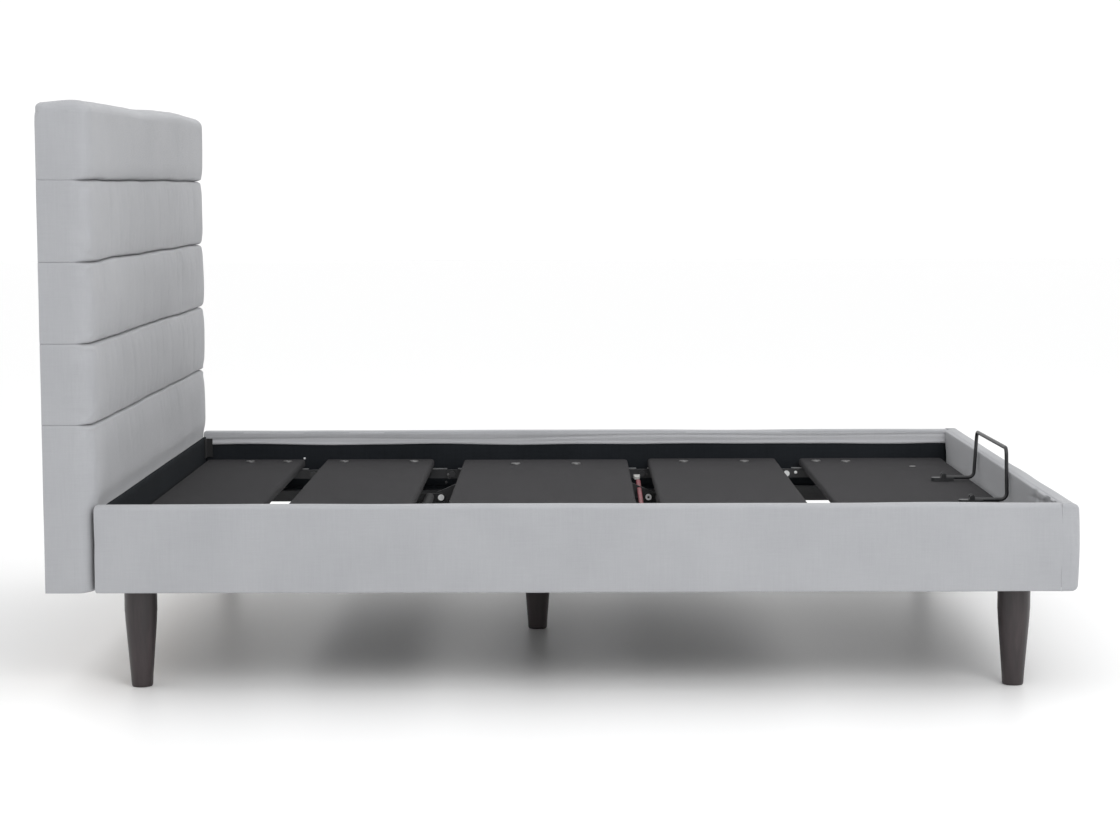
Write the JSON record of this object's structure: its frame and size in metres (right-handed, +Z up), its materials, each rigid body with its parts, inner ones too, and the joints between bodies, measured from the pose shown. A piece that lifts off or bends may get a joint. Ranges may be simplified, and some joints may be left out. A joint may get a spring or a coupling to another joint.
{
  "type": "adjustable bed base",
  "caption": "Upholstered adjustable bed base with channelled headboard, padded rails on tapered legs, hinged deck sections with lift arms and actuators, and a folding mattress retainer.",
  "frame": {"origin": "on the floor under the middle of the bed's overall box", "axes": "+X from the headboard to the foot, +Z up, +Y to the bed's left seen from the foot end looking to the head"},
  "size_m": [2.205, 1.62, 1.275],
  "materials": {
    "upholstery": "woven linen-look",
    "lining_cloth": "non-woven black cloth",
    "deck_cloth": "charcoal wrap",
    "board": "raw board",
    "dark_board": "black non-woven cloth glued over board",
    "leg_wood": "espresso stain, satin",
    "frame_steel": "black powder coat",
    "dark_bolt": "black oxide",
    "zinc": "zinc plated",
    "nylon": "moulded",
    "bright_rod": "polished",
    "housing": "moulded, fine texture"
  },
  "bodies": {
    "base": {"base_frame": "frame_steel", "bolts_seat": "dark_bolt", "control_box": "housing", "corner_bracket_far": "frame_steel", "corner_bracket_near": "frame_steel", "foot_inner_pad": "upholstery", "headboard_back": "lining_cloth", "headboard_channel_1": "upholstery", "headboard_channel_2": "upholstery", "headboard_channel_3": "upholstery", "headboard_channel_4": "upholstery", "headboard_channel_5": "upholstery", "headboard_core": "board", "leg_centre": "leg_wood", "leg_foot_far": "leg_wood", "leg_foot_near": "leg_wood", "leg_head_far": "leg_wood", "leg_head_near": "leg_wood", "lining_far": "lining_cloth", "lining_head": "lining_cloth", "lining_near": "lining_cloth", "panel_seat": "deck_cloth", "pivot_bolts_back": "zinc", "pivot_bolts_thigh": "zinc", "rail_board_far": "dark_board", "rail_board_foot": "dark_board", "rail_board_near": "dark_board", "rail_cover_far": "upholstery", "rail_cover_foot": "upholstery", "rail_cover_near": "upholstery", "seat_frame": "frame_steel"},
    "back": {"back_frame": "frame_steel", "panel_back": "deck_cloth", "bolts_back": "dark_bolt", "pivot_bolts_pillow": "zinc"},
    "pillow": {"pillow_frame": "frame_steel", "panel_pillow": "deck_cloth", "bolts_pillow": "dark_bolt"},
    "thigh": {"thigh_frame": "frame_steel", "panel_thigh": "deck_cloth", "bolts_thigh": "dark_bolt", "pivot_bolts_foot": "zinc"},
    "foot": {"foot_frame": "frame_steel", "panel_foot": "deck_cloth", "bolts_foot": "dark_bolt", "retainer_bracket_near": "frame_steel", "retainer_bracket_far": "frame_steel"},
    "retainer": {"retainer_bar": "frame_steel"},
    "back_yoke": {"back_lift_yoke": "frame_steel"},
    "back_rollers": {"back_roller_axle": "nylon"},
    "thigh_yoke": {"thigh_lift_yoke": "frame_steel"},
    "thigh_rollers": {"thigh_roller_axle": "nylon"},
    "link": {"foot_link": "frame_steel"},
    "back_motor": {"back_actuator": "housing"},
    "back_rod": {"back_actuator_rod": "bright_rod"},
    "thigh_motor": {"thigh_actuator": "housing"},
    "thigh_rod": {"thigh_actuator_rod": "bright_rod"},
    "pillow_motor": {"pillow_actuator": "housing"},
    "pillow_rod": {"pillow_actuator_rod": "bright_rod"}
  },
  "joints": [
    {"name": "back_lift", "type": "hinge", "parent": "base", "child": "back", "pos_m": [-0.3025, 0, 0.304], "axis": [0, 1, 0], "range_deg": [0, 60]},
    {"name": "pillow_tilt", "type": "hinge", "parent": "back", "child": "pillow", "pos_m": [-0.6825, 0, 0.304], "axis": [0, 1, 0], "range_deg": [0, 30]},
    {"name": "thigh_lift", "type": "hinge", "parent": "base", "child": "thigh", "pos_m": [0.2165, 0, 0.304], "axis": [0, -1, 0], "range_deg": [0, 35]},
    {"name": "foot_fold", "type": "hinge", "parent": "thigh", "child": "foot", "pos_m": [0.612, 0, 0.304], "axis": [0, -1, 0], "range_deg": [-35, 0]},
    {"name": "foot_link_swing", "type": "hinge", "parent": "base", "child": "link", "pos_m": [0.5025, 0, 0.262], "axis": [0, -1, 0], "range_deg": [0, 35]},
    {"name": "retainer_fold", "type": "hinge", "parent": "foot", "child": "retainer", "pos_m": [0.9711, 0, 0.346], "axis": [0, -1, 0], "range_deg": [0, 115]},
    {"name": "back_arm_swing", "type": "hinge", "parent": "base", "child": "back_yoke", "pos_m": [-0.3175, 0, 0.278], "axis": [0, 1, 0], "range_deg": [0, 60]},
    {"name": "back_roller_spin", "type": "hinge", "parent": "back_yoke", "child": "back_rollers", "pos_m": [-0.6175, 0, 0.278], "axis": [0, 1, 0], "continuous": true},
    {"name": "thigh_arm_swing", "type": "hinge", "parent": "base", "child": "thigh_yoke", "pos_m": [0.2247, 0, 0.278], "axis": [0, -1, 0], "range_deg": [0, 35]},
    {"name": "thigh_roller_spin", "type": "hinge", "parent": "thigh_yoke", "child": "thigh_rollers", "pos_m": [0.4747, 0, 0.278], "axis": [0, 1, 0], "continuous": true},
    {"name": "back_motor_swing", "type": "hinge", "parent": "base", "child": "back_motor", "pos_m": [-0.0995, 0.12, 0.262], "axis": [0, -1, 0], "range_deg": [0, 0.5]},
    {"name": "back_motor_stroke", "type": "slide", "parent": "back_motor", "child": "back_rod", "axis": [-0.9988, 0, -0.0491], "range_m": [0, 0.0305]},
    {"name": "thigh_motor_swing", "type": "hinge", "parent": "base", "child": "thigh_motor", "pos_m": [-0.0235, -0.12, 0.262], "axis": [0, -1, 0], "range_deg": [0, 0.5]},
    {"name": "thigh_motor_stroke", "type": "slide", "parent": "thigh_motor", "child": "thigh_rod", "axis": [0.9956, 0, -0.0934], "range_m": [0, 0.0245]},
    {"name": "pillow_motor_swing", "type": "hinge", "parent": "back", "child": "pillow_motor", "pos_m": [-0.4075, -0.48, 0.274], "axis": [0, -1, 0], "range_deg": [0, 0.5]},
    {"name": "pillow_motor_stroke", "type": "slide", "parent": "pillow_motor", "child": "pillow_rod", "axis": [-0.9999, 0, -0.0143], "range_m": [0, 0.0185]}
  ],
  "couplings": [
    {"joint": "foot_fold", "follows": "thigh_lift", "ratio": -1},
    {"joint": "foot_link_swing", "follows": "thigh_lift", "ratio": 1},
    {"joint": "back_arm_swing", "follows": "back_lift", "ratio": 1},
    {"joint": "thigh_arm_swing", "follows": "thigh_lift", "ratio": 1},
    {"joint": "back_motor_swing", "follows": "back_lift", "ratio": 0.005},
    {"joint": "back_motor_stroke", "follows": "back_lift", "m_per_rad": 0.028809},
    {"joint": "thigh_motor_swing", "follows": "thigh_lift", "ratio": 0.006},
    {"joint": "thigh_motor_stroke", "follows": "thigh_lift", "m_per_rad": 0.039225},
    {"joint": "pillow_motor_swing", "follows": "pillow_tilt", "ratio": 0.004},
    {"joint": "pillow_motor_stroke", "follows": "pillow_tilt", "m_per_rad": 0.034598}
  ]
}
